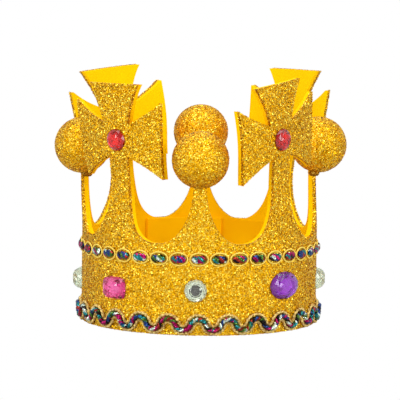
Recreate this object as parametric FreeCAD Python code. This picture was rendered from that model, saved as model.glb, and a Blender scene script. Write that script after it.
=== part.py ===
import FreeCAD, Part
import math
import os

# Costume crown of craft foam: one strip with eight points, rolled into a ring and glued.
# Millimetres, +Z up. The origin is the centre of the bottom rim. The front faces -Y, and
# an azimuth counts from the front towards +X.

# Band
BAND_RADIUS = 90.0         # outer face of the ring
GLITTER_LAYER = 2.3        # outer foam layer, which carries the glitter
LINING_LAYER = 3.2         # plain foam layer glued inside it
VALLEY_HEIGHT = 68.2       # lowest point between two points of the crown
VALLEY_FLAT = 2.8          # half of the level stretch at the bottom of a valley
JOIN_BELOW_VALLEY = 1.0    # the ring ends, and the points begin, this far under the valleys
PAIR_SECTOR = 90.0         # degrees of the ring for one spike and one cross together
SPIKE_SECTOR = 42.0        # and for the spike's foot alone
FOOT_OVERLAP = 1.5         # degrees by which each foot's wall runs into the next one's

# Glued joint of the strip, behind the back spike
SEAM_GAP = 0.4
SEAM_OVER = 10.0           # the slit's cutter stands this far above the valley
TAB_START = -150.0         # azimuths: the tab leaves the lining here
TAB_END = -192.0           # and ends here, past the back

# Spikes, which carry the balls
SPIKE_NECK = 9.0
SPIKE_NECK_HEIGHT = 112.0
SPIKE_IN_BALL = 1.0        # the tip ends this far above the ball's centre
BALL_DIAMETER = 42.5

# Crosses
CROSS_REACH = 42.0         # centre to the upper tip of a side arm
LOW_TIP_REACH = 38.0       # and to its lower tip
CROSS_RISE = 42.5          # centre to the top
ARM_END = 57.5             # length of a side arm's end
NOTCH_SIDE = 12.0          # inner corner between two arms, from the cross's centre
NOTCH_RISE = 12.5
ARM_HOLLOW = 1.3           # how far an arm's side is drawn in from a straight line
STEM_WIDTH = 17.5
STEM_FOOT_HEIGHT = 109.0   # the stem starts to flare below this
CROSS_RADIUS = 180.0       # the cross is flatter than the band
STEM_RADIUS = 125.0
STEM_BEND_HEIGHT = 104.0
HINGE_ABOVE_VALLEY = 8.0   # a point that leans sideways turns about this height
OVER_SIDE = 14.0           # a cross is cut from a wall this much wider, each side
OVER_TOP = 6.0             # and this much taller

# Each cross: azimuth, height of its centre, length of its top arm's end, and how far it
# stands out from the ring at the stem, at the centre and at the top. Then in degrees its
# sideways lean from the hinge up, the roll of its arms about its centre, and its turn
# about the vertical.
CROSSES = {
    "front_left": (-45.0, 143.9, 48.5, (-4.5, 0.5, 5.0), 0.5, -2.0, 4.0),
    "front_right": (45.0, 146.6, 48.5, (-0.5, 2.5, 4.0), -5.5, -1.5, 6.5),
    "back_left": (-135.0, 145.0, 53.5, (-2.0, 2.0, 10.0), 2.3, 1.8, -10.0),
    "back_right": (135.0, 144.6, 53.0, (4.0, 12.0, 20.0), 0.4, 1.0, -3.0),
}
# Each spike: azimuth, how far it stands out at its neck, how far its ball stands out from
# the middle of the foam, and the height of the ball's centre.
SPIKES = {
    "front": (0.0, 0.0, 0.5, 132.0),
    "left": (-90.0, 1.5, 2.0, 133.2),
    "right": (90.0, -1.5, 4.7, 136.0),
    "back": (180.0, 0.0, 0.5, 136.2),
}

# Stick-on gems
GEM_GIRDLE = 0.9
ROUND_GEM = 18.0
ROUND_GEM_DEPTH = 7.4
CROSS_GEM_DEPTH = 5.0
OVAL_GEM = (31.0, 22.5)
RECTANGLE_GEM = (23.0, 17.0)
LARGE_GEM_DEPTH = 6.5
RECTANGLE_CORNER = 5.0     # cut off each corner of the rectangle
TABLE_SHARE = 0.56         # width of a gem's flat top over its whole width
GEM_SIDES = 12
GEM_SINK = 0.3             # a gem on a cross is pressed this far into the foam
# Each gem of the band: azimuth, height of its centre, and cut
BAND_GEMS = {
    "front": (-1.5, 33.7, "round"),
    "front_left": (-45.0, 31.7, "rectangle"),
    "front_right": (46.0, 35.0, "oval"),
    "left": (-90.0, 30.4, "round"),
    "right": (90.0, 32.6, "round"),
    "back_left": (-135.0, 34.0, "oval"),
    "back_right": (135.0, 32.0, "rectangle"),
    "back": (180.0, 33.0, "round"),
}

# Braid under the valleys: beads of foil cord inside loops of gold cord
BRAID_HEIGHT = 57.4
BRAID_LOOPS = 37
LOOP_HEIGHT = 11.0
LOOP_CORD = 1.5
LOOP_SIDES = 10
LOOP_GAP = 0.3             # between one loop and the next
BEAD_GAP = 0.7             # between a bead and the loop round it
BEAD_DEPTH = 3.4

# Trim along the bottom rim: a waved foil cord, with a gold gimp cord along each side of it
WAVES = 25
WAVE_SWING = 4.2
WAVE_OVERLAP = 5.0         # degrees by which each half wave runs into the next
FOIL_CORD = 3.6
FOIL_DEPTH = 4.8
GIMP_CORD = 1.8
GIMP_DEPTH = 2.6
TRIM_GAP = 0.25            # between two cords of the trim, and under the lowest one

# Depths below the outer face between which each foam layer lies
OUTER = (0.0, GLITTER_LAYER)
INNER = (GLITTER_LAYER, GLITTER_LAYER + LINING_LAYER)

Z_AXIS = FreeCAD.Vector(0, 0, 1)
ORIGIN = FreeCAD.Vector(0, 0, 0)


def turned(shape, azimuth):
    """A shape built at the front, turned about the crown's axis to its azimuth."""
    copy = shape.copy()
    copy.rotate(ORIGIN, Z_AXIS, azimuth)
    return copy


def ring(outer, inner, bottom, top):
    """A plain ring about the crown's axis."""
    base = FreeCAD.Vector(0, 0, bottom)
    return Part.makeCylinder(outer, top - bottom, base).cut(Part.makeCylinder(inner, top - bottom, base))


def bezier(*places):
    """A curved edge in the front plane, from its handles as (across, height)."""
    curve = Part.BezierCurve()
    curve.setPoles([FreeCAD.Vector(x, 0, z) for x, z in places])
    return curve.toShape()


def line(start, end):
    """A straight edge in the front plane."""
    return Part.makeLine(FreeCAD.Vector(start[0], 0, start[1]), FreeCAD.Vector(end[0], 0, end[1]))


def mirrored(places):
    """The same places on the left side, in the opposite order."""
    return [(-x, z) for x, z in reversed(places)]


def leaned(places, degrees):
    """Places turned sideways about the hinge height, those above it only."""
    angle = math.radians(degrees)
    hinge = VALLEY_HEIGHT + HINGE_ABOVE_VALLEY
    moved = []
    for x, z in places:
        rise = z - hinge
        if rise > 0:
            x, rise = (x * math.cos(angle) + rise * math.sin(angle),
                       rise * math.cos(angle) - x * math.sin(angle))
        moved.append((x, hinge + rise))
    return moved


def foot_curve(half_sector, half_top, top_height):
    """Handles of one flank, from the valley up to the neck or the stem."""
    valley = BAND_RADIUS * math.sin(math.radians(half_sector)) - VALLEY_FLAT
    rise = top_height - VALLEY_HEIGHT
    return [(valley, VALLEY_HEIGHT), (valley * 0.64, VALLEY_HEIGHT),
            (half_top + valley * 0.03, VALLEY_HEIGHT + rise * 0.36), (half_top, top_height)]


def blade(edges):
    """The closed outline, extruded outwards through every layer of the foam."""
    face = Part.Face(Part.Wire(edges))
    face.translate(FreeCAD.Vector(0, -BAND_RADIUS / 2, 0))
    return face.extrude(FreeCAD.Vector(0, -BAND_RADIUS, 0))


def both_sides(right_side):
    """The edges of a point's right side and then those of its left side."""
    return right_side + [mirrored(handles) for handles in reversed(right_side)]


def outline(sides):
    """A point's outline from its edges, right to left, each given by its handles."""
    first, last = sides[0][0], sides[-1][-1]
    below = VALLEY_HEIGHT - 2 * JOIN_BELOW_VALLEY
    outer = BAND_RADIUS
    edges = [line((outer, below), (outer, first[1])), line((outer, first[1]), first)]
    for index, handles in enumerate(sides):
        if index and sides[index - 1][-1] != handles[0]:
            edges.append(line(sides[index - 1][-1], handles[0]))
        edges.append(bezier(*handles))
    edges += [line(last, (-outer, last[1])), line((-outer, last[1]), (-outer, below))]
    edges.append(line((-outer, below), (outer, below)))
    return blade(edges)


def hollow_side(start, end, inward):
    """Handles of an arm's side, drawn in from the straight line along an (x, z) direction."""
    middle = ((start[0] + end[0]) / 2, (start[1] + end[1]) / 2)
    handle = (middle[0] + ARM_HOLLOW * inward[0], middle[1] + ARM_HOLLOW * inward[1])
    return [start, handle, end]


def rolled(places, degrees, centre):
    """The places of a cross's arms, turned about the cross's centre."""
    angle = math.radians(degrees)
    moved = []
    for x, z in places:
        if z > STEM_FOOT_HEIGHT:
            rise = z - centre
            x, z = (x * math.cos(angle) + rise * math.sin(angle),
                    centre + rise * math.cos(angle) - x * math.sin(angle))
        moved.append((x, z))
    return moved


def cross_outline(centre, top_end, lean, roll):
    """A stem with a flared foot that carries three flared arms."""
    half_end = ARM_END / 2
    stem = (STEM_WIDTH / 2, STEM_FOOT_HEIGHT)
    low_notch = (STEM_WIDTH / 2, centre - NOTCH_RISE)
    high_notch = (NOTCH_SIDE, centre + NOTCH_RISE)
    low_tip = (LOW_TIP_REACH, centre - half_end)
    high_tip = (CROSS_REACH, centre + half_end)
    top = (top_end / 2, centre + CROSS_RISE)
    half_sector = (PAIR_SECTOR - SPIKE_SECTOR) / 2
    sides = both_sides([
        foot_curve(half_sector, *stem),
        [stem, low_notch],
        hollow_side(low_notch, low_tip, (1, 2)),
        [low_tip, high_tip],
        hollow_side(high_tip, high_notch, (1, -2)),
        hollow_side(high_notch, top, (-2, 1)),
    ])
    return outline([leaned(rolled(handles, roll, centre), lean) for handles in sides])


def spike_outline(ball_height):
    """A tall neck on a flared foot. Its tip ends inside the ball."""
    neck = (SPIKE_NECK / 2, SPIKE_NECK_HEIGHT)
    tip = (SPIKE_NECK / 2, ball_height + SPIKE_IN_BALL)
    return outline(both_sides([foot_curve(SPIKE_SECTOR / 2, *neck), [neck, tip]]))


def section(level, depths):
    """One level section through a point: the space between two arcs of one centre."""
    height, radius, half_width, out, turn = level
    facing = math.radians(turn)
    normal = FreeCAD.Vector(math.sin(facing), -math.cos(facing), 0)
    centre = FreeCAD.Vector(0, -(BAND_RADIUS + out), height) - normal * radius
    half = math.asin(half_width / radius)

    def place(depth, angle):
        direction = FreeCAD.Vector(math.sin(angle + facing), -math.cos(angle + facing), 0)
        return centre + direction * (radius - depth)

    outer = [place(depths[0], angle) for angle in (-half, 0, half)]
    inner = [place(depths[1], angle) for angle in (half, 0, -half)]
    edges = [Part.Arc(*outer).toShape(), Part.makeLine(outer[-1], inner[0]),
             Part.Arc(*inner).toShape(), Part.makeLine(inner[-1], outer[0])]
    return Part.Wire(edges)


def foot_width(sector):
    """Half the width of a point's wall at its foot, which overlaps its neighbours'."""
    return BAND_RADIUS * math.sin(math.radians(sector / 2 + FOOT_OVERLAP))


def wall(sector, levels, depths):
    """The bent foam wall of one point, before its outline is cut."""
    foot = (VALLEY_HEIGHT - JOIN_BELOW_VALLEY, BAND_RADIUS, foot_width(sector), 0.0, 0.0)
    levels = [foot] + levels
    wires = [section(levels[0], depths)]
    for below, above in zip(levels, levels[1:]):
        halfway = tuple((a + b) / 2 for a, b in zip(below, above))
        wires += [section(halfway, depths), section(above, depths)]
    return Part.makeLoft(wires, True, False)


def cross_wall(name, depths):
    """The wall of one cross: it flattens upwards and stands out as its row in CROSSES says."""
    azimuth, height, top_end, (stem_out, centre_out, top_out), lean, roll, turn = CROSSES[name]
    over = height + CROSS_RISE + OVER_TOP
    over_out = top_out + (top_out - centre_out) * OVER_TOP / CROSS_RISE
    wide = max(CROSS_REACH, LOW_TIP_REACH) + OVER_SIDE
    levels = [
        (STEM_BEND_HEIGHT, STEM_RADIUS, wide, stem_out, turn / 2),
        (height, CROSS_RADIUS, wide, centre_out, turn),
        (over, CROSS_RADIUS, wide, over_out, turn),
    ]
    cutter = cross_outline(height, top_end, lean, roll)
    shape = wall(PAIR_SECTOR - SPIKE_SECTOR, levels, depths).common(cutter)
    return turned(shape, azimuth)


def spike_wall(name, depths):
    """The wall of one spike."""
    azimuth, neck_out, ball_out, ball_height = SPIKES[name]
    wide = foot_width(SPIKE_SECTOR)
    levels = [
        (SPIKE_NECK_HEIGHT, BAND_RADIUS, wide, neck_out, 0.0),
        (ball_height + OVER_TOP, BAND_RADIUS, wide, neck_out, 0.0),
    ]
    shape = wall(SPIKE_SECTOR, levels, depths).common(spike_outline(ball_height))
    return turned(shape, azimuth)


def seam():
    """The slit between the two ends of the strip."""
    azimuth = -180.0 + SPIKE_SECTOR / 2
    slit = Part.makeBox(SEAM_GAP, 4 * GLITTER_LAYER, VALLEY_HEIGHT + SEAM_OVER,
                        FreeCAD.Vector(-SEAM_GAP / 2, -BAND_RADIUS - GLITTER_LAYER, 0))
    return turned(slit, azimuth)


def layer(depths):
    """One foam layer of the whole strip, between two depths below the outer face."""
    base = ring(BAND_RADIUS - depths[0], BAND_RADIUS - depths[1], 0.0, VALLEY_HEIGHT - JOIN_BELOW_VALLEY)
    points = [cross_wall(name, depths) for name in CROSSES]
    points += [spike_wall(name, depths) for name in SPIKES]
    return base.fuse(points).cut(seam()).removeSplitter()


def tab():
    """The end of the strip that is glued inside the other end."""
    outer = BAND_RADIUS - GLITTER_LAYER - LINING_LAYER
    whole = ring(outer, outer - LINING_LAYER, 0.0, VALLEY_HEIGHT)
    span = TAB_START - TAB_END
    wedge = Part.makeCylinder(BAND_RADIUS, VALLEY_HEIGHT, ORIGIN, Z_AXIS, span)
    wedge.rotate(ORIGIN, Z_AXIS, TAB_END - 90.0)
    return whole.common(wedge)


def polygon(width, height, depth, sides):
    """A flat polygon of a gem in its own frame, at a depth above the back."""
    wire = []
    for index in range(sides + 1):
        angle = 2 * math.pi * (index + 0.5) / sides
        wire.append(FreeCAD.Vector(width / 2 * math.cos(angle), -depth, height / 2 * math.sin(angle)))
    return Part.makePolygon(wire)


def cut_rectangle(width, height, corner, depth):
    """A flat rectangle with its corners cut off, in the gem's own frame."""
    x, z = width / 2, height / 2
    places = [(x, z - corner), (x - corner, z), (corner - x, z), (-x, z - corner)]
    places += [(-a, -b) for a, b in places]
    wire = [FreeCAD.Vector(a, -depth, b) for a, b in places + places[:1]]
    return Part.makePolygon(wire)


def gem(kind, depth):
    """A flat-backed gem with a girdle, sloping facets and a flat top, facing -Y."""
    levels = [(1.0, 0.0), (1.0, GEM_GIRDLE), (TABLE_SHARE, depth)]
    if kind == "rectangle":
        width, height = RECTANGLE_GEM
        bevel = (1 - TABLE_SHARE) * height
        wires = [cut_rectangle(width, height, RECTANGLE_CORNER, level) for share, level in levels[:2]]
        wires.append(cut_rectangle(width - bevel, height - bevel, RECTANGLE_CORNER * TABLE_SHARE, depth))
    else:
        width, height = OVAL_GEM if kind == "oval" else (ROUND_GEM, ROUND_GEM)
        wires = [polygon(width * share, height * share, level, GEM_SIDES) for share, level in levels]
    return Part.makeLoft(wires, True, True)


def band_gem(name):
    """A gem on the band, its back flush with the band at its left and right ends."""
    azimuth, height, kind = BAND_GEMS[name]
    width = {"round": ROUND_GEM, "oval": OVAL_GEM[0], "rectangle": RECTANGLE_GEM[0]}[kind]
    depth = ROUND_GEM_DEPTH if kind == "round" else LARGE_GEM_DEPTH
    seat = math.sqrt(BAND_RADIUS ** 2 - (width / 2) ** 2)
    shape = gem(kind, depth)
    shape.translate(FreeCAD.Vector(0, -seat, height))
    return turned(shape, azimuth)


def cross_gem(name):
    """The round gem at the centre of a cross, tilted as the cross is there."""
    azimuth, height, top_end, (stem_out, centre_out, top_out), lean, roll, turn = CROSSES[name]
    tilt = math.degrees(math.atan2(top_out - stem_out, height + CROSS_RISE - STEM_BEND_HEIGHT))
    x, z = leaned([(0.0, height)], lean)[0]
    shape = gem("round", CROSS_GEM_DEPTH)
    shape.rotate(ORIGIN, FreeCAD.Vector(1, 0, 0), tilt)
    shape.rotate(ORIGIN, Z_AXIS, turn)
    drop = CROSS_RADIUS - math.sqrt(CROSS_RADIUS ** 2 - x ** 2) + GEM_SINK
    slide = x * math.sin(math.radians(turn))
    shape.translate(FreeCAD.Vector(x, -(BAND_RADIUS + centre_out - drop) + slide, z))
    return turned(shape, azimuth)


def ball(name):
    """A ball on the tip of a spike, with a slit that the spike fills."""
    azimuth, neck_out, ball_out, height = SPIKES[name]
    middle = BAND_RADIUS - (GLITTER_LAYER + LINING_LAYER) / 2 + neck_out + ball_out
    sphere = turned(Part.makeSphere(BALL_DIAMETER / 2, FreeCAD.Vector(0, -middle, height)), azimuth)
    return sphere.cut(spike_wall(name, OUTER)).cut(spike_wall(name, INNER))


def plate(outer, inner, depth):
    """A flat ring of cord in the front plane, from its two closed outlines."""
    face = Part.Face(outer).cut(Part.Face(inner))
    return face.extrude(FreeCAD.Vector(0, -depth, 0))


def braid_piece(shape, index):
    """A piece of the braid, seated on the band at its place in the row."""
    copy = shape.copy()
    copy.translate(FreeCAD.Vector(0, -BAND_RADIUS, BRAID_HEIGHT))
    return turned(copy, 360.0 * index / BRAID_LOOPS)


def loop_width():
    """Width of one gold loop: the flat tangent at the band, less the gap to the next."""
    return 2 * BAND_RADIUS * math.tan(math.pi / BRAID_LOOPS) - LOOP_GAP


def braid_loops():
    """The gold cord: one oval loop round each bead."""
    width = loop_width()
    outer = polygon(width, LOOP_HEIGHT, 0.0, LOOP_SIDES)
    inner = polygon(width - 2 * LOOP_CORD, LOOP_HEIGHT - 2 * LOOP_CORD, 0.0, LOOP_SIDES)
    loop = plate(outer, inner, LOOP_CORD)
    return Part.makeCompound([braid_piece(loop, index) for index in range(BRAID_LOOPS)])


def braid_beads():
    """The foil beads inside the loops."""
    width = loop_width() - 2 * (LOOP_CORD + BEAD_GAP)
    height = LOOP_HEIGHT - 2 * (LOOP_CORD + BEAD_GAP)
    levels = [(0.8, 0.0), (1.0, BEAD_DEPTH / 2), (0.5, BEAD_DEPTH)]
    wires = [polygon(width * share, height * share, level, LOOP_SIDES) for share, level in levels]
    bead = Part.makeLoft(wires, True, True)
    return Part.makeCompound([braid_piece(bead, index) for index in range(BRAID_LOOPS)])


def gimp_shift():
    """How far each gimp cord runs beside the foil cord, middle to middle."""
    return (FOIL_CORD + GIMP_CORD) / 2 + TRIM_GAP


def wave_height():
    """Middle line of the waves, which keeps the lower gimp cord above the rim."""
    return TRIM_GAP + GIMP_CORD / 2 + gimp_shift() + WAVE_SWING


def wave_arc(upward, shift, cord, depth):
    """One half wave of a cord: a flat arc that runs shift above the foil cord's middle."""
    half_pitch = BAND_RADIUS * math.tan(math.pi / (2 * WAVES))
    radius = (half_pitch ** 2 + WAVE_SWING ** 2) / (2 * WAVE_SWING)
    half = math.asin(half_pitch / radius) + math.radians(WAVE_OVERLAP)
    middle = radius + (shift if upward else -shift)
    arcs = []
    for reach in (middle + cord / 2, middle - cord / 2):
        places = [FreeCAD.Vector(reach * math.sin(angle), 0, reach * math.cos(angle) - radius + WAVE_SWING)
                  for angle in (-half, 0, half)]
        arcs.append(Part.Arc(*places).toShape())
    outer, inner = arcs
    ends = [Part.makeLine(outer.Vertexes[side].Point, inner.Vertexes[side].Point) for side in (0, -1)]
    border = Part.Wire([outer, ends[1], inner, ends[0]])
    arc = Part.Face(border).extrude(FreeCAD.Vector(0, -depth, 0))
    if not upward:
        arc.rotate(ORIGIN, FreeCAD.Vector(0, 1, 0), 180.0)
    arc.translate(FreeCAD.Vector(0, -BAND_RADIUS, wave_height()))
    return arc


def waved_cord(shift, cord, depth):
    """A waved cord all round the rim, as one piece."""
    step = 360.0 / (2 * WAVES)
    arcs = [turned(wave_arc(index % 2 == 0, shift, cord, depth), index * step)
            for index in range(2 * WAVES)]
    return arcs[0].fuse(arcs[1:]).removeSplitter()


def export(name, shape):
    """Checks a piece and writes it under its own name."""
    if not shape.isValid():
        raise ValueError(name + " is not a valid shape")
    shape.exportStep(os.path.join("parts", name + ".step"))
    print(name, len(shape.Solids), "solids", round(shape.Volume, 1), "mm3")


def main():
    os.makedirs("parts", exist_ok=True)
    band_gems = {"gem_" + name: band_gem(name) for name in BAND_GEMS}
    cross_gems = {"cross_gem_" + name: cross_gem(name) for name in CROSSES}
    gems = list(band_gems.values()) + list(cross_gems.values())
    export("crown_sheet", layer(OUTER).cut(gems))
    export("lining_sheet", layer(INNER).fuse(tab()).removeSplitter())
    for name in SPIKES:
        export("ball_" + name, ball(name))
    for name, shape in {**band_gems, **cross_gems}.items():
        export(name, shape)
    export("braid_loops", braid_loops())
    export("braid_beads", braid_beads())
    export("trim_foil_cord", waved_cord(0.0, FOIL_CORD, FOIL_DEPTH))
    export("trim_gimp_lower", waved_cord(-gimp_shift(), GIMP_CORD, GIMP_DEPTH))
    export("trim_gimp_upper", waved_cord(gimp_shift(), GIMP_CORD, GIMP_DEPTH))


main()
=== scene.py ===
import math

import bpy
import numpy as np
from mathutils import Matrix, Vector


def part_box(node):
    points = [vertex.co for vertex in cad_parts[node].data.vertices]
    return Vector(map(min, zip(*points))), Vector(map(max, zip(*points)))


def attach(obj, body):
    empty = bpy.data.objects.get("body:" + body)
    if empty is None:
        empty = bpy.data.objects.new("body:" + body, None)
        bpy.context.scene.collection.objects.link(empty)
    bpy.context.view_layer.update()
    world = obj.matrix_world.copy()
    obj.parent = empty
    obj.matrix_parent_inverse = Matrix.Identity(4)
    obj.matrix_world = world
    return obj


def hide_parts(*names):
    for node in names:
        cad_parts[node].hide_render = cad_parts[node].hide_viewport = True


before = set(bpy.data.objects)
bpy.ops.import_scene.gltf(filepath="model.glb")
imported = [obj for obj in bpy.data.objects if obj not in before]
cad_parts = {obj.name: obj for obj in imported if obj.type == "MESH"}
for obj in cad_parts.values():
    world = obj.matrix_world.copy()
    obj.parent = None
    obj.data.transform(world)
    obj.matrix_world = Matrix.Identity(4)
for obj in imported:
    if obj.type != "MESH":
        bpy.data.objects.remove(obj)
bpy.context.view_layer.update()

# Looks of the foam crown: glitter, gems, braid and trim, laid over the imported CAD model.
# Metres, +Z up, origin at the centre of the bottom rim, front towards -Y. An angle along
# the band counts from the front towards +X, in radians.
MM = 0.001
SEED = 11

# Camera, fitted to the photograph by drawing the model's outline over it
CAMERA_DISTANCE = 3.0
CAMERA_RISE = math.radians(6.6)
CAMERA_ROLL = math.radians(0.8)
CAMERA_TARGET = Vector((0.0, 0.0, 0.0918))
CAMERA_LENS = 351.0

# Sizes shared with the CAD model
BAND_RADIUS = 90.0 * MM
FOAM = 5.5 * MM
BALL_RADIUS = 21.25 * MM
SPIKE_NECK = 9.0 * MM
BRAID_HEIGHT = 57.4 * MM
BRAID_LOOPS = 37
LOOP_HEIGHT = 11.0 * MM
LOOP_CORD = 1.5 * MM
LOOP_GAP = 0.3 * MM
BEAD_GAP = 0.7 * MM
BEAD_DEPTH = 3.4 * MM
WAVES = 25
WAVE_HEIGHT = 8.3 * MM
WAVE_SWING = 4.2 * MM
FOIL_CORD = 3.6 * MM
FOIL_DEPTH = 4.8 * MM
GIMP_CORD = 2.3 * MM       # fluffier than the CAD model's bar of 1.8 mm
GIMP_DEPTH = 2.6 * MM
GIMP_SHIFT = 2.95 * MM     # foil cord's middle to a gimp cord's middle

# Twist of each cord. A groove is the depth of the furrow between two strands, as a share
# of the cord's radius. Steps count along a whole loop, or along one wave.
LOOP_STEPS = 84
LOOP_SIDES = 8
LOOP_STRANDS = 2
LOOP_TURNS = 13
LOOP_GROOVE = 0.3
BEAD_STEPS = 11
BEAD_SIDES = 16
BEAD_STRANDS = 5
BEAD_TWIST = 2.0           # radians from a bead's middle to its end
BEAD_RELIEF = 0.12
CORD_STEPS = 48
CORD_SIDES = 16
CORD_STRANDS = 3
CORD_TURNS = 95            # twists of the foil cord round the rim
CORD_GROOVE = 0.22
CORD_CREASE = 0.12 * MM
CORD_PATCHES = 110         # lengths of one colour along each of its strands
GIMP_STEPS = 80
GIMP_SIDES = 9
GIMP_STRANDS = 2
GIMP_TURNS = 190
GIMP_GROOVE = 0.5
GIMP_CREASE = 0.16 * MM

# Glitter
FLAKES_PER_SHEET_PIECE = 92000
FLAKES_PER_BALL = 9500
FLAKE_SIZE = (0.55 * MM, 1.15 * MM)
FLAKE_TILT = 0.5           # random lean of a flake's normal
FLAKE_LIFT = 0.12 * MM
FLAKE_SPREAD = 1.3         # how much longer than its half size a flake's corner reaches
FLAKE_SHARES = (0.3, 0.45, 0.25)     # deep, gold and pale
GRAIN = 0.9 * MM           # fine glitter painted under the flakes
GRAIN_SLANT = 0.9
BLOTCH = 4.0 * MM          # slower change of tone in it
FACE_LIMIT = 0.6           # a face turned outwards less than this is a cut edge
INNER_FACE = -0.5          # and below this it is the hidden inner face, without flakes
POINTS_START = 66.0 * MM   # flakes above this are a piece of their own

# Lump of glue round each side spike, under its ball. Its glitter is painted dark, as painted shade
# under the ball
GLUE_ROWS = 7
GLUE_SIDES = 28
GLUE_HEIGHT = 5.0 * MM
GLUE_BELOW_BALL = 2.6 * MM
GLUE_THIN = 0.5 * MM
GLUE_SWELL = 1.2 * MM

# Gems
GEM_CORNERS = 12
SQUARE_GEM_CORNERS = 16
SQUARENESS = 5             # 2 is an ellipse, and a higher value is squarer
# Each level's width as a share of the whole, height as a share of the depth, and turn in
# sides of the outline
GEM_LEVELS = [(0.98, 0.0, 0.0), (1.0, 0.14, 0.0), (0.88, 0.52, 0.5), (0.68, 0.82, 1.0),
              (0.44, 1.0, 1.5)]
POCKET_WIDTH = 0.98        # no flake lies within this share of a gem's outline,
POCKET_DEPTH = 1.5         # and within this many half depths of its back
SQUARE_GEMS = ("gem_front_left", "gem_back_right")
# Lower facets in the darker rim acrylic: painted shade.
RIM_PAINTED_SHADE_SHARES = (0.8, 0.35, 0.1)   # facets in the rim's tone, row by row from the girdle up
# The middle of a gem's back: a painted highlight on the coloured gems, a painted dark reflection on
# the clear gems.
PAINTED_MIDDLE_SHARE = 0.42         # width of the other tone at the middle of a gem's back

random = np.random.default_rng(SEED)


# Materials

def new_material(name, **values):
    """A material whose principled shader gets the given values, by socket name."""
    material = bpy.data.materials.new(name)
    material.use_nodes = True
    shader = material.node_tree.nodes["Principled BSDF"]
    for socket, value in values.items():
        shader.inputs[socket.replace("_", " ")].default_value = value
    return material, material.node_tree, shader


def node(tree, kind, **settings):
    """Adds a node and sets its plain properties and its sockets' values."""
    made = tree.nodes.new(kind)
    for name, value in settings.items():
        if name in made.inputs:
            made.inputs[name].default_value = value
        else:
            setattr(made, name, value)
    return made


def ramp(tree, factor, stops):
    """A colour ramp over a factor, from rows of position and colour."""
    made = tree.nodes.new("ShaderNodeValToRGB")
    elements = made.color_ramp.elements
    while len(elements) < len(stops):
        elements.new(0.5)
    for element, (position, colour) in zip(elements, stops):
        element.position = position
        element.color = (*colour, 1.0)
    tree.links.new(factor, made.inputs["Fac"])
    return made.outputs["Color"]


def place(tree):
    """The point on the object, in metres."""
    return node(tree, "ShaderNodeTexCoord").outputs["Object"]


def cells(tree, size):
    """Random colour per cell of a 3-D cell pattern with that cell size."""
    made = node(tree, "ShaderNodeTexVoronoi", Scale=1.0 / size)
    tree.links.new(place(tree), made.inputs["Vector"])
    return made.outputs["Color"]


def noise(tree, size, detail=3.0):
    """Smooth noise with that feature size."""
    made = node(tree, "ShaderNodeTexNoise", Scale=1.0 / size, Detail=detail)
    tree.links.new(place(tree), made.inputs["Vector"])
    return made.outputs["Fac"]


def bump(tree, shader, height, distance):
    """Fine relief from a height."""
    made = node(tree, "ShaderNodeBump", Distance=distance)
    tree.links.new(height, made.inputs["Height"])
    tree.links.new(made.outputs["Normal"], shader.inputs["Normal"])


def scattered_normal(tree, colour, amount):
    """The surface normal, tipped another way in each cell."""
    centred = node(tree, "ShaderNodeVectorMath", operation="SUBTRACT")
    centred.inputs[1].default_value = (0.5, 0.5, 0.5)
    tree.links.new(colour, centred.inputs[0])
    scaled = node(tree, "ShaderNodeVectorMath", operation="SCALE", Scale=amount)
    tree.links.new(centred.outputs[0], scaled.inputs[0])
    added = node(tree, "ShaderNodeVectorMath", operation="ADD")
    tree.links.new(scaled.outputs[0], added.inputs[0])
    tree.links.new(node(tree, "ShaderNodeNewGeometry").outputs["Normal"], added.inputs[1])
    unit = node(tree, "ShaderNodeVectorMath", operation="NORMALIZE")
    tree.links.new(added.outputs[0], unit.inputs[0])
    return unit.outputs[0]


def glitter(name, dark, mid, pale):
    """A layer of fine glitter: every cell has its own gold and its own slant."""
    material, tree, shader = new_material(name, Metallic=0.9, Roughness=0.45)
    fine = cells(tree, GRAIN)
    split = node(tree, "ShaderNodeSeparateColor")
    tree.links.new(fine, split.inputs[0])
    colour = ramp(tree, split.outputs[0], [(0.0, dark), (0.45, mid), (0.8, mid), (1.0, pale)])
    blotch = ramp(tree, noise(tree, BLOTCH), [(0.3, (0.8, 0.8, 0.8)), (0.7, (1.0, 1.0, 1.0))])
    mixed = node(tree, "ShaderNodeMix", data_type="RGBA", blend_type="MULTIPLY")
    mixed.inputs[0].default_value = 1.0
    tree.links.new(colour, mixed.inputs[6])
    tree.links.new(blotch, mixed.inputs[7])
    tree.links.new(mixed.outputs[2], shader.inputs["Base Color"])
    tree.links.new(scattered_normal(tree, fine, GRAIN_SLANT), shader.inputs["Normal"])
    return material


def flake(name, colour, roughness):
    """One shade of loose flake."""
    return new_material(name, Base_Color=(*colour, 1.0), Metallic=1.0, Roughness=roughness)[0]


def foam(name, colour, deep):
    """Smooth craft foam, with pores and a faint change of tone."""
    material, tree, shader = new_material(name, Roughness=0.8, Specular_IOR_Level=0.03)
    shade = ramp(tree, noise(tree, 25 * MM), [(0.3, deep), (0.7, colour)])
    tree.links.new(shade, shader.inputs["Base Color"])
    bump(tree, shader, noise(tree, 0.5 * MM, 2.0), 0.06 * MM)
    return material


def foil(name, colour, roughness=0.18, crease=1.2 * MM, relief=0.3 * MM):
    """Metallic foil of one colour, with creases of that size and relief."""
    material, tree, shader = new_material(name, Base_Color=(*colour, 1.0), Metallic=1.0,
                                          Roughness=roughness)
    bump(tree, shader, noise(tree, crease, 2.0), relief)
    return material


def gem_back(name, colour):
    """The smooth mirror foil on the back of a gem, only faintly uneven."""
    return foil(name, colour, 0.1, 5 * MM, 0.08 * MM)


def thread(name, dark, pale, size):
    """Spun gold thread: fibres that run from dark to pale over that size."""
    material, tree, shader = new_material(name, Metallic=0.35, Roughness=0.5)
    shade = ramp(tree, noise(tree, size), [(0.3, dark), (0.65, pale)])
    tree.links.new(shade, shader.inputs["Base Color"])
    bump(tree, shader, noise(tree, 0.25 * MM, 2.0), 0.1 * MM)
    return material


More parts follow.
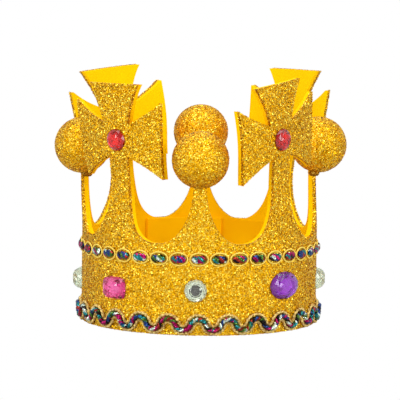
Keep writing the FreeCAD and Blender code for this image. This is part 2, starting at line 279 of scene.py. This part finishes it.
def acrylic(name, colour, clearness=1.0):
    """Tinted acrylic, which is milky where its clearness is under 1."""
    material, tree, shader = new_material(name, Base_Color=(*colour, 1.0), IOR=1.49,
                                          Transmission_Weight=clearness, Coat_Weight=0.3)
    haze = ramp(tree, noise(tree, 6 * MM), [(0.3, (0.02, 0.02, 0.02)), (0.8, (0.06, 0.06, 0.06))])
    tree.links.new(haze, shader.inputs["Roughness"])
    return material


GOLD_FACE = glitter("glitter_face", (0.42, 0.18, 0.001), (0.87, 0.45, 0.004), (1.0, 0.78, 0.10))
# The cut edges' glitter is the face's glitter painted darker: painted shade.
GOLD_EDGE_PAINTED_SHADE = glitter("glitter_edge_painted_shade", (0.20, 0.07, 0.001), (0.48, 0.20, 0.003), (0.90, 0.55, 0.08))
# Dark glitter on the glue under the side balls: painted shade.
GLUE_PAINTED_SHADE = glitter("glitter_glue_painted_shade", (0.14, 0.05, 0.001), (0.36, 0.15, 0.003), (0.8, 0.5, 0.08))
FLAKES = [
    flake("flake_deep", (0.60, 0.25, 0.001), 0.5),
    flake("flake_gold", (0.91, 0.49, 0.004), 0.42),
    flake("flake_pale", (1.0, 0.79, 0.10), 0.35),
]
LINING = foam("lining_foam", (0.98, 0.58, 0.0005), (0.96, 0.53, 0.0005))
BRAID_THREAD = thread("braid_thread", (0.80, 0.46, 0.01), (1.0, 0.82, 0.16), 0.6 * MM)
GIMP_THREAD = thread("gimp_thread", (0.30, 0.12, 0.01), (1.0, 0.78, 0.26), 1.3 * MM)
FOIL_COLOURS = {
    "foil_magenta": (0.34, 0.01, 0.10),
    "foil_teal": (0.02, 0.19, 0.20),
    "foil_blue": (0.02, 0.05, 0.18),
    "foil_green": (0.07, 0.16, 0.03),
    "foil_silver": (0.62, 0.74, 0.64),
    # Near-black foil patches stand in for the shadowed creases of the crumpled foil: painted shadow.
    "foil_black_painted_shadow": (0.02, 0.015, 0.015),
    "foil_red": (0.28, 0.03, 0.02),
}
FOILS = [foil(name, colour) for name, colour in FOIL_COLOURS.items()]
FOIL_SHARES = (0.22, 0.15, 0.14, 0.11, 0.12, 0.15, 0.11)
# Each look: the acrylic of the table and the facets beside it, that of the rim, darker as painted
# shade, and the foil at the back, at its edge and at its middle. The middle's foil is lighter as a
# painted highlight on the coloured gems, and black as a painted dark reflection on the clear gems.
GEM_LOOKS = {
    "clear": (
        acrylic("gem_clear", (0.90, 0.97, 0.84), 0.92),
        acrylic("rim_clear_painted_shade", (0.78, 0.90, 0.72), 0.55),
        gem_back("back_silver", (0.86, 0.90, 0.80)),
        gem_back("back_painted_dark_reflection", (0.02, 0.01, 0.01)),
    ),
    "pink": (
        acrylic("gem_pink", (1.0, 0.34, 0.62)),
        acrylic("rim_pink_painted_shade", (0.60, 0.03, 0.20), 0.4),
        gem_back("back_pink", (0.90, 0.22, 0.50)),
        gem_back("back_pink_painted_highlight", (1.0, 0.40, 0.70)),
    ),
    "purple": (
        acrylic("gem_purple", (0.62, 0.22, 0.82)),
        acrylic("rim_purple_painted_shade", (0.22, 0.03, 0.32), 0.4),
        gem_back("back_purple", (0.45, 0.10, 0.60)),
        gem_back("back_purple_painted_highlight", (0.62, 0.24, 0.80)),
    ),
    "red": (
        acrylic("gem_red", (1.0, 0.08, 0.04)),
        acrylic("rim_red_painted_shade", (0.40, 0.01, 0.01), 0.4),
        gem_back("back_red", (0.80, 0.04, 0.02)),
        gem_back("back_red_painted_highlight", (1.0, 0.10, 0.05)),
    ),
}
GEMS = {
    "gem_front": "clear", "gem_left": "clear", "gem_right": "clear", "gem_back": "clear",
    "gem_front_left": "pink", "gem_back_right": "pink",
    "gem_front_right": "purple", "gem_back_left": "purple",
    "cross_gem_front_left": "red", "cross_gem_front_right": "red",
    "cross_gem_back_left": "red", "cross_gem_back_right": "red",
}


# Meshes

def add_piece(name, vertices, faces, materials, slots=None, smooth=False):
    """A mesh piece that rides on the crown, from arrays in metres."""
    mesh = bpy.data.meshes.new(name)
    mesh.from_pydata([tuple(v) for v in vertices], [], [tuple(f) for f in faces])
    for material in materials:
        mesh.materials.append(material)
    if slots is not None:
        mesh.polygons.foreach_set("material_index", np.asarray(slots, np.int32))
    mesh.polygons.foreach_set("use_smooth", [smooth] * len(mesh.polygons))
    mesh.update()
    piece = bpy.data.objects.new(name, mesh)
    bpy.context.scene.collection.objects.link(piece)
    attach(piece, "root")
    return piece


def on_band(angle, out, height):
    """A place by its angle along the band, its distance from the outer face and its height."""
    radius = BAND_RADIUS + out
    return Vector((radius * math.sin(angle), -radius * math.cos(angle), height))


def outward(point):
    """Level direction away from the crown's axis."""
    return Vector((point.x, point.y, 0.0)).normalized()


def tube(path, sides, section):
    """Vertices and faces of a closed tube along a path. section(step, side) gives the
    offsets across and outwards, in metres."""
    count = len(path)
    vertices = []
    for step, point in enumerate(path):
        before, after = path[step - 1], path[(step + 1) % count]
        out = outward(point)
        across = (after - before).normalized().cross(out).normalized()
        for side in range(sides):
            sideways, away = section(step, side)
            vertices.append(point + across * sideways + out * away)
    faces = []
    for step in range(count):
        for side in range(sides):
            low, high = step * sides, (step + 1) % count * sides
            next_side = (side + 1) % sides
            faces.append((low + side, low + next_side, high + next_side, high + side))
    return vertices, faces


def rope(path, half_width, half_depth, sides, strands, turns, groove):
    """A closed tube whose surface is twisted into strands, with grooves between them."""
    count = len(path)

    def section(step, side):
        around = 2 * math.pi * side / sides
        twist = 2 * math.pi * turns * strands * step / count
        ridge = 1.0 - groove * (0.5 - 0.5 * math.cos(strands * around - twist))
        return half_width * ridge * math.cos(around), half_depth * ridge * math.sin(around)

    return tube(path, sides, section)


# Glitter flakes

def triangles_of(cad_node, keep):
    """Corner arrays and normals of a CAD node's triangles that pass the test."""
    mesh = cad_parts[cad_node].data
    mesh.calc_loop_triangles()
    corners, normals = [], []
    for triangle in mesh.loop_triangles:
        points = [mesh.vertices[index].co for index in triangle.vertices]
        middle = (points[0] + points[1] + points[2]) / 3
        if keep(middle, triangle.normal):
            corners.append([tuple(point) for point in points])
            normals.append(tuple(triangle.normal))
    return np.array(corners), np.array(normals)


def bare_of_gems(places):
    """Tells for each place whether it lies outside every gem."""
    bare = np.ones(len(places), bool)
    for cad_node in GEMS:
        middle, directions, sizes = gem_frame(cad_node)
        offsets = (places - np.array(middle)) @ np.array(directions).T / (np.array(sizes) / 2)
        beside = np.hypot(offsets[:, 0], offsets[:, 1]) > POCKET_WIDTH
        bare &= beside | (np.abs(offsets[:, 2]) > POCKET_DEPTH)
    return bare


def scatter(name, corners, normals, count):
    """Loose foil flakes over triangles: small four-sided chips, each with its own slant."""
    sides = corners[:, 1] - corners[:, 0], corners[:, 2] - corners[:, 0]
    area = np.linalg.norm(np.cross(*sides), axis=1)
    chosen = random.choice(len(corners), count, p=area / area.sum())
    u, v = random.random((2, count, 1))
    fold = (u + v) > 1
    u, v = np.where(fold, 1 - u, u), np.where(fold, 1 - v, v)
    normal = normals[chosen]
    centre = corners[chosen, 0] + u * sides[0][chosen] + v * sides[1][chosen]
    centre = centre + normal * FLAKE_LIFT * (0.4 + random.random((count, 1)))
    tilted = normal + random.uniform(-FLAKE_TILT, FLAKE_TILT, (count, 3))
    tilted /= np.linalg.norm(tilted, axis=1, keepdims=True)
    across = np.cross(tilted, random.normal(size=(count, 3)))
    across /= np.linalg.norm(across, axis=1, keepdims=True)
    along = np.cross(tilted, across)
    half = random.uniform(*FLAKE_SIZE, (count, 1)) / 2
    stretch = random.uniform(0.7, 1.0, (4, count, 1))
    vertices = np.empty((count, 4, 3))
    for corner, (x, y) in enumerate(((1, 0), (0, 1), (-1, 0), (0, -1))):
        reach = half * stretch[corner] * FLAKE_SPREAD
        vertices[:, corner] = centre + reach * (x * across + y * along)
    vertices = vertices[bare_of_gems(centre)]
    count = len(vertices)
    faces = np.arange(count * 4).reshape(count, 4)
    shades = random.choice(len(FLAKES), count, p=FLAKE_SHARES)
    return add_piece(name, vertices.reshape(-1, 3), faces, FLAKES, shades)


def dress_sheet():
    """Glitter on the outer foam: its face, its cut edges in the same glitter painted darker as shade,
    and loose flakes.
    """
    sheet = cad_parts["crown_sheet"]
    sheet.data.materials.clear()
    sheet.data.materials.append(GOLD_FACE)
    sheet.data.materials.append(GOLD_EDGE_PAINTED_SHADE)
    for polygon in sheet.data.polygons:
        facing = polygon.normal.dot(outward(polygon.center))
        # Faces that turn away, the cut edges, get the glitter painted darker as shade.
        polygon.material_index = 0 if facing > FACE_LIMIT else 1

    def faces_out(middle, normal):
        return normal.dot(outward(middle)) > INNER_FACE

    def on_band_part(middle, normal):
        return faces_out(middle, normal) and middle.z < POINTS_START

    def on_points(middle, normal):
        return faces_out(middle, normal) and middle.z >= POINTS_START

    for name, keep in (("flakes_band", on_band_part), ("flakes_points", on_points)):
        corners, normals = triangles_of("crown_sheet", keep)
        scatter(name, corners, normals, FLAKES_PER_SHEET_PIECE)


def dress_balls():
    """Glitter on the four balls."""
    for name in ("front", "left", "right", "back"):
        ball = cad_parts["ball_" + name]
        ball.data.materials.clear()
        ball.data.materials.append(GOLD_FACE)
        low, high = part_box("ball_" + name)
        centre = (low + high) / 2

        def on_outside(middle, normal):
            return (middle - centre).length > 0.9 * BALL_RADIUS

        corners, normals = triangles_of("ball_" + name, on_outside)
        scatter("flakes_ball_" + name, corners, normals, FLAKES_PER_BALL)


def dress_lining():
    """Plain foam on the inner layer."""
    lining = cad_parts["lining_sheet"]
    lining.data.materials.clear()
    lining.data.materials.append(LINING)


# Gems

def gem_frame(cad_node):
    """Where a gem is: the middle of its back, its directions, and its sizes."""
    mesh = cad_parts[cad_node].data
    areas = {}
    for polygon in mesh.polygons:
        key = tuple(round(value, 2) for value in polygon.normal)
        total, normal = areas.get(key, (0.0, Vector()))
        areas[key] = (total + polygon.area, normal + polygon.normal * polygon.area)
    out = -max(areas.values(), key=lambda entry: entry[0])[1].normalized()
    across = Vector((0, 0, 1)).cross(out).normalized()
    up = out.cross(across)
    spans = []
    for direction in (across, up, out):
        reach = [vertex.co.dot(direction) for vertex in mesh.vertices]
        spans.append((min(reach), max(reach)))
    middle = across * (sum(spans[0]) / 2) + up * (sum(spans[1]) / 2) + out * spans[2][0]
    return middle, (across, up, out), [high - low for low, high in spans]


def gem_outline(width, height, square, count, shift):
    """Corners of a gem's level, as offsets across and up. A square gem has cut corners."""
    corners = []
    for index in range(count):
        angle = 2 * math.pi * (index + shift) / count
        x, y = math.cos(angle), math.sin(angle)
        if square:
            power = (abs(x) ** SQUARENESS + abs(y) ** SQUARENESS) ** (1 / SQUARENESS)
            x, y = x / power, y / power
        corners.append((x * width / 2, y * height / 2))
    return corners


def facets(row, count):
    """Faces between two levels of a gem. The lowest are upright, the others triangles."""
    low, high = row * count, (row + 1) * count
    faces = []
    for index in range(count):
        after = (index + 1) % count
        if row == 0:
            faces.append((low + index, low + after, high + after, high + index))
        elif row % 2:
            faces.append((low + index, low + after, high + index))
            faces.append((low + after, high + after, high + index))
        else:
            faces.append((low + index, high + after, high + index))
            faces.append((low + index, low + after, high + after))
    return faces


def add_gem(cad_node, look):
    """A cut gem with rows of facets over a foil back, in place of its CAD node. Its lower facets are
    partly darker as painted shade, and the middle of its back is lighter as a painted highlight on
    the coloured gems, black as a painted dark reflection on the clear gems.
    """
    middle, (across, up, out), (width, height, depth) = gem_frame(cad_node)
    square = cad_node in SQUARE_GEMS
    count = SQUARE_GEM_CORNERS if square else GEM_CORNERS
    vertices = []
    for share, level, shift in GEM_LEVELS:
        for x, y in gem_outline(width * share, height * share, square, count, shift):
            vertices.append(middle + across * x + up * y + out * (level * depth))
    top = len(GEM_LEVELS) - 1
    faces = [tuple(reversed(range(count))), tuple(range(top * count, (top + 1) * count))]
    for row in range(top):
        faces += facets(row, count)
    face_look, rim_shade_look, edge_look, painted_middle_look = GEM_LOOKS[look]
    tones = [0, 0] + [1] * count
    # Random facets of the lower rows take the darker rim acrylic: painted shade.
    for share in RIM_PAINTED_SHADE_SHARES:
        tones += list(random.choice(2, 2 * count, p=(1 - share, share)))
    gem = add_piece(cad_node + "_cut", vertices, faces, [face_look, rim_shade_look], tones)
    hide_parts(cad_node)
    back = []
    # The back's middle takes the other foil: lighter as a painted highlight on the coloured gems,
    # black as a painted dark reflection on the clear gems.
    for share, level in ((0.95, 0.03), (PAINTED_MIDDLE_SHARE, 0.12)):
        for x, y in gem_outline(width * share, height * share, square, count, 0.0):
            back.append(middle + across * x + up * y + out * (level * depth))
    back.append(middle + out * (0.16 * depth))
    edge = [(index, (index + 1) % count, count + (index + 1) % count, count + index)
            for index in range(count)]
    fan = [(count + index, count + (index + 1) % count, 2 * count) for index in range(count)]
    tones = [0] * count + [1] * count
    add_piece(cad_node + "_back", back, edge + fan, [edge_look, painted_middle_look], tones)


# Braid

def loop_width():
    """Width of one gold loop, which leaves a gap to the next."""
    return 2 * BAND_RADIUS * math.tan(math.pi / BRAID_LOOPS) - LOOP_GAP


def braid_loops():
    """The gold cord loops, each a twisted cord round its bead."""
    vertices, faces = [], []
    half_width = (loop_width() - LOOP_CORD) / 2
    half_height = (LOOP_HEIGHT - LOOP_CORD) / 2
    for index in range(BRAID_LOOPS):
        middle = 2 * math.pi * index / BRAID_LOOPS
        path = []
        for step in range(LOOP_STEPS):
            turn = 2 * math.pi * step / LOOP_STEPS
            angle = middle + half_width * math.cos(turn) / BAND_RADIUS
            path.append(on_band(angle, LOOP_CORD / 2, BRAID_HEIGHT + half_height * math.sin(turn)))
        made, quads = rope(path, LOOP_CORD / 2, LOOP_CORD / 2, LOOP_SIDES, LOOP_STRANDS,
                           LOOP_TURNS, LOOP_GROOVE)
        start = len(vertices)
        vertices += made
        faces += [tuple(start + corner for corner in quad) for quad in quads]
    piece = add_piece("braid_gold_loops", vertices, faces, [BRAID_THREAD], smooth=True)
    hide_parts("braid_loops")


def bead(middle, first):
    """One bead: a short twist of creased foil. Gives vertices, faces and colour indices."""
    vertices, faces, colours = [], [], []
    half_length = loop_width() / 2 - LOOP_CORD - BEAD_GAP
    half_height = LOOP_HEIGHT / 2 - LOOP_CORD - BEAD_GAP
    shades = random.choice(len(FOILS), (3, BEAD_STRANDS), p=FOIL_SHARES)
    phase = random.uniform(0, 2 * math.pi)
    for step in range(BEAD_STEPS):
        along = -1 + 2 * step / (BEAD_STEPS - 1)
        swell = max(1 - (0.97 * along) ** 4, 0.0) ** 0.5
        for side in range(BEAD_SIDES):
            around = 2 * math.pi * side / BEAD_SIDES
            strand_wave = math.cos(BEAD_STRANDS * (around - BEAD_TWIST * along - phase))
            ridge = 1 - BEAD_RELIEF + BEAD_RELIEF * strand_wave
            ridge *= random.uniform(1 - BEAD_RELIEF, 1.0)
            up = half_height * swell * ridge * math.cos(around)
            away = BEAD_DEPTH / 2 * (1 + swell * ridge * math.sin(around))
            angle = middle + half_length * along / BAND_RADIUS
            vertices.append(on_band(angle, away, BRAID_HEIGHT + up))
    for step in range(BEAD_STEPS - 1):
        along = -1 + 2 * (step + 0.5) / (BEAD_STEPS - 1)
        for side in range(BEAD_SIDES):
            low = first + step * BEAD_SIDES
            high = low + BEAD_SIDES
            after = (side + 1) % BEAD_SIDES
            faces.append((low + after, low + side, high + side, high + after))
            around = 2 * math.pi * (side + 0.5) / BEAD_SIDES
            strand = round(BEAD_STRANDS * (around - BEAD_TWIST * along - phase) / (2 * math.pi))
            colours.append(shades[3 * step // BEAD_STEPS, int(strand) % BEAD_STRANDS])
    return vertices, faces, colours


def braid_beads():
    """The foil beads inside the loops."""
    vertices, faces, colours = [], [], []
    for index in range(BRAID_LOOPS):
        made = bead(2 * math.pi * index / BRAID_LOOPS, len(vertices))
        vertices += made[0]
        faces += made[1]
        colours += made[2]
    piece = add_piece("braid_foil_beads", vertices, faces, FOILS, colours)
    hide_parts("braid_beads")


# Trim on the bottom rim

def wave_path(shift, out, steps_per_wave):
    """Points of a waved cord: half circles, shifted to one side of the foil cord's middle."""
    half_pitch = math.pi * BAND_RADIUS / (2 * WAVES)
    radius = (half_pitch ** 2 + WAVE_SWING ** 2) / (2 * WAVE_SWING)
    half = math.asin(half_pitch / radius)
    steps = steps_per_wave // 2
    path = []
    for half_wave in range(2 * WAVES):
        sign = 1 if half_wave % 2 == 0 else -1
        reach = radius + sign * shift
        for step in range(steps):
            turn = half * (2 * (step + 0.5) / steps - 1)
            x = reach * math.sin(turn)
            rise = sign * (reach * math.cos(turn) - radius + WAVE_SWING)
            angle = math.pi * half_wave / WAVES + x / BAND_RADIUS
            path.append(on_band(angle, out, WAVE_HEIGHT + rise))
    return path


def foil_cord():
    """The waved cord of twisted foil, which changes colour from patch to patch."""
    path = wave_path(0.0, FOIL_DEPTH / 2, CORD_STEPS)
    count = len(path)
    made, faces = rope(path, FOIL_CORD / 2, FOIL_DEPTH / 2, CORD_SIDES, CORD_STRANDS,
                       CORD_TURNS, CORD_GROOVE)
    made = [crease(point, CORD_CREASE) for point in made]
    patches = random.choice(len(FOILS), (CORD_PATCHES, CORD_STRANDS), p=FOIL_SHARES)
    colours = []
    for step in range(count):
        share = (step + 0.5) / count
        for side in range(CORD_SIDES):
            around = 2 * math.pi * (side + 0.5) / CORD_SIDES
            strand = round(CORD_STRANDS * (around / (2 * math.pi) - CORD_TURNS * share))
            colours.append(patches[int(share * CORD_PATCHES), int(strand) % CORD_STRANDS])
    piece = add_piece("trim_foil_twist", made, faces, FOILS, colours)
    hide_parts("trim_foil_cord")


def crease(point, amount):
    """A vertex, pushed aside at random."""
    return point + Vector(random.uniform(-amount, amount, 3))


def gimp_cords():
    """The gold cords that run along both sides of the foil cord."""
    for name, shift in (("lower", -GIMP_SHIFT), ("upper", GIMP_SHIFT)):
        path = wave_path(shift, GIMP_DEPTH / 2, GIMP_STEPS)
        made, faces = rope(path, GIMP_CORD / 2, GIMP_DEPTH / 2, GIMP_SIDES, GIMP_STRANDS,
                           GIMP_TURNS, GIMP_GROOVE)
        made = [crease(point, GIMP_CREASE) for point in made]
        piece = add_piece("trim_gold_" + name, made, faces, [GIMP_THREAD])
        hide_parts("trim_gimp_" + name)


# Glue at the balls, painted dark as the shade under them

def glue_row(level):
    """One uneven row of the glue, as offsets sideways and away, from 0 below to 1 above."""
    swell = GLUE_THIN + GLUE_SWELL * math.sin(math.pi * min(level, 0.9) / 0.9)
    row = []
    for index in range(GLUE_SIDES):
        around = 2 * math.pi * index / GLUE_SIDES
        wobble = 1 + 0.12 * math.sin(5 * around + 3 * level) + 0.08 * random.normal()
        x, y = math.cos(around), math.sin(around)
        power = (abs(x) ** 4 + abs(y) ** 4) ** 0.25
        row.append(((SPIKE_NECK / 2 + swell * wobble) * x / power,
                    (FOAM / 2 + swell * wobble) * y / power))
    return row


def glue_collars():
    """A lump of glitter glue round each side spike, under its ball, its glitter painted dark as the
    shade under the ball.
    """
    for name in ("left", "right"):
        low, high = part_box("ball_" + name)
        ball = (low + high) / 2
        out = outward(ball)
        side = Vector((0, 0, 1)).cross(out)
        centre = out * (BAND_RADIUS - FOAM / 2)
        vertices, faces = [], []
        for row in range(GLUE_ROWS):
            level = row / (GLUE_ROWS - 1)
            height = ball.z - BALL_RADIUS - GLUE_BELOW_BALL + level * GLUE_HEIGHT
            for sideways, away in glue_row(level):
                vertices.append(centre + side * sideways + out * away + Vector((0, 0, height)))
        for row in range(GLUE_ROWS - 1):
            for index in range(GLUE_SIDES):
                start, after = row * GLUE_SIDES, (index + 1) % GLUE_SIDES
                faces.append((start + index, start + after,
                              start + GLUE_SIDES + after, start + GLUE_SIDES + index))
        add_piece("glue_" + name, vertices, faces, [GLUE_PAINTED_SHADE], smooth=True)


# Camera, light and surroundings

def add_camera():
    """The camera of the photograph."""
    away = Vector((0.0, -math.cos(CAMERA_RISE), math.sin(CAMERA_RISE)))
    camera = bpy.data.objects.new("camera", bpy.data.cameras.new("camera"))
    camera.data.lens = CAMERA_LENS
    camera.data.clip_end = 20.0
    turned = (-away).to_track_quat("-Z", "Y").to_matrix().to_4x4()
    turned = turned @ Matrix.Rotation(CAMERA_ROLL, 4, "Z")
    camera.matrix_world = Matrix.Translation(CAMERA_TARGET + away * CAMERA_DISTANCE) @ turned
    bpy.context.scene.collection.objects.link(camera)
    bpy.context.scene.camera = camera


def add_light(name, location, size, power):
    """A square soft light that faces the crown."""
    light = bpy.data.lights.new(name, "AREA")
    light.size = size
    light.energy = power
    lamp = bpy.data.objects.new(name, light)
    lamp.location = location
    lamp.rotation_euler = (CAMERA_TARGET - lamp.location).to_track_quat("-Z", "Y").to_euler()
    bpy.context.scene.collection.objects.link(lamp)


def add_lights():
    """A large light above, one at each side of the camera, and a small one for sparkle."""
    add_light("top", Vector((0.0, -0.2, 1.6)), 1.2, 13.0)
    add_light("left", Vector((-1.5, -1.4, 0.7)), 0.9, 16.0)
    add_light("right", Vector((1.5, -1.4, 0.6)), 0.9, 15.0)
    add_light("sparkle", Vector((0.2, -2.0, 1.0)), 0.2, 8.0)


def add_floor():
    """A white floor, which the camera looks through: it only gives light and shade."""
    mesh = bpy.data.meshes.new("floor")
    size, level = 3.0, -1.5 * MM
    corners = [(-size, -size, level), (size, -size, level), (size, size, level), (-size, size, level)]
    mesh.from_pydata(corners, [], [(0, 1, 2, 3)])
    white = new_material("floor_white", Base_Color=(0.6, 0.6, 0.6, 1.0), Roughness=0.9)[0]
    mesh.materials.append(white)
    floor = bpy.data.objects.new("floor", mesh)
    floor.visible_camera = False
    bpy.context.scene.collection.objects.link(floor)


def add_surroundings():
    """Pure white behind the crown, also through its gems and in its reflections. The rest
    of the room that it reflects gets darker towards the camera."""
    world = bpy.data.worlds.new("room")
    world.use_nodes = True
    bpy.context.scene.world = world
    tree = world.node_tree
    background = tree.nodes["Background"]
    rays = node(tree, "ShaderNodeLightPath").outputs
    seen = node(tree, "ShaderNodeMath", operation="MAXIMUM")
    tree.links.new(rays["Is Camera Ray"], seen.inputs[0])
    tree.links.new(rays["Is Transmission Ray"], seen.inputs[1])
    towards = node(tree, "ShaderNodeVectorMath", operation="DOT_PRODUCT")
    tree.links.new(node(tree, "ShaderNodeTexCoord").outputs["Generated"], towards.inputs[0])
    towards.inputs[1].default_value = (0.0, -math.cos(CAMERA_RISE), math.sin(CAMERA_RISE))
    room = ramp(tree, towards.outputs["Value"], [
        (0.0, (1.0, 1.0, 1.0)), (0.35, (0.62, 0.62, 0.62)), (0.6, (0.46, 0.46, 0.46)),
        (0.93, (0.36, 0.36, 0.36)), (0.97, (0.05, 0.05, 0.05))])
    mix = node(tree, "ShaderNodeMix", data_type="RGBA")
    mix.inputs[7].default_value = (1.0, 1.0, 1.0, 1.0)
    tree.links.new(seen.outputs[0], mix.inputs[0])
    tree.links.new(room, mix.inputs[6])
    tree.links.new(mix.outputs[2], background.inputs["Color"])
    bpy.context.scene.view_settings.view_transform = "Standard"


add_camera()
add_lights()
add_surroundings()
add_floor()
dress_sheet()
dress_lining()
dress_balls()
for cad_node, look in GEMS.items():
    add_gem(cad_node, look)
braid_loops()
braid_beads()
foil_cord()
gimp_cords()
glue_collars()
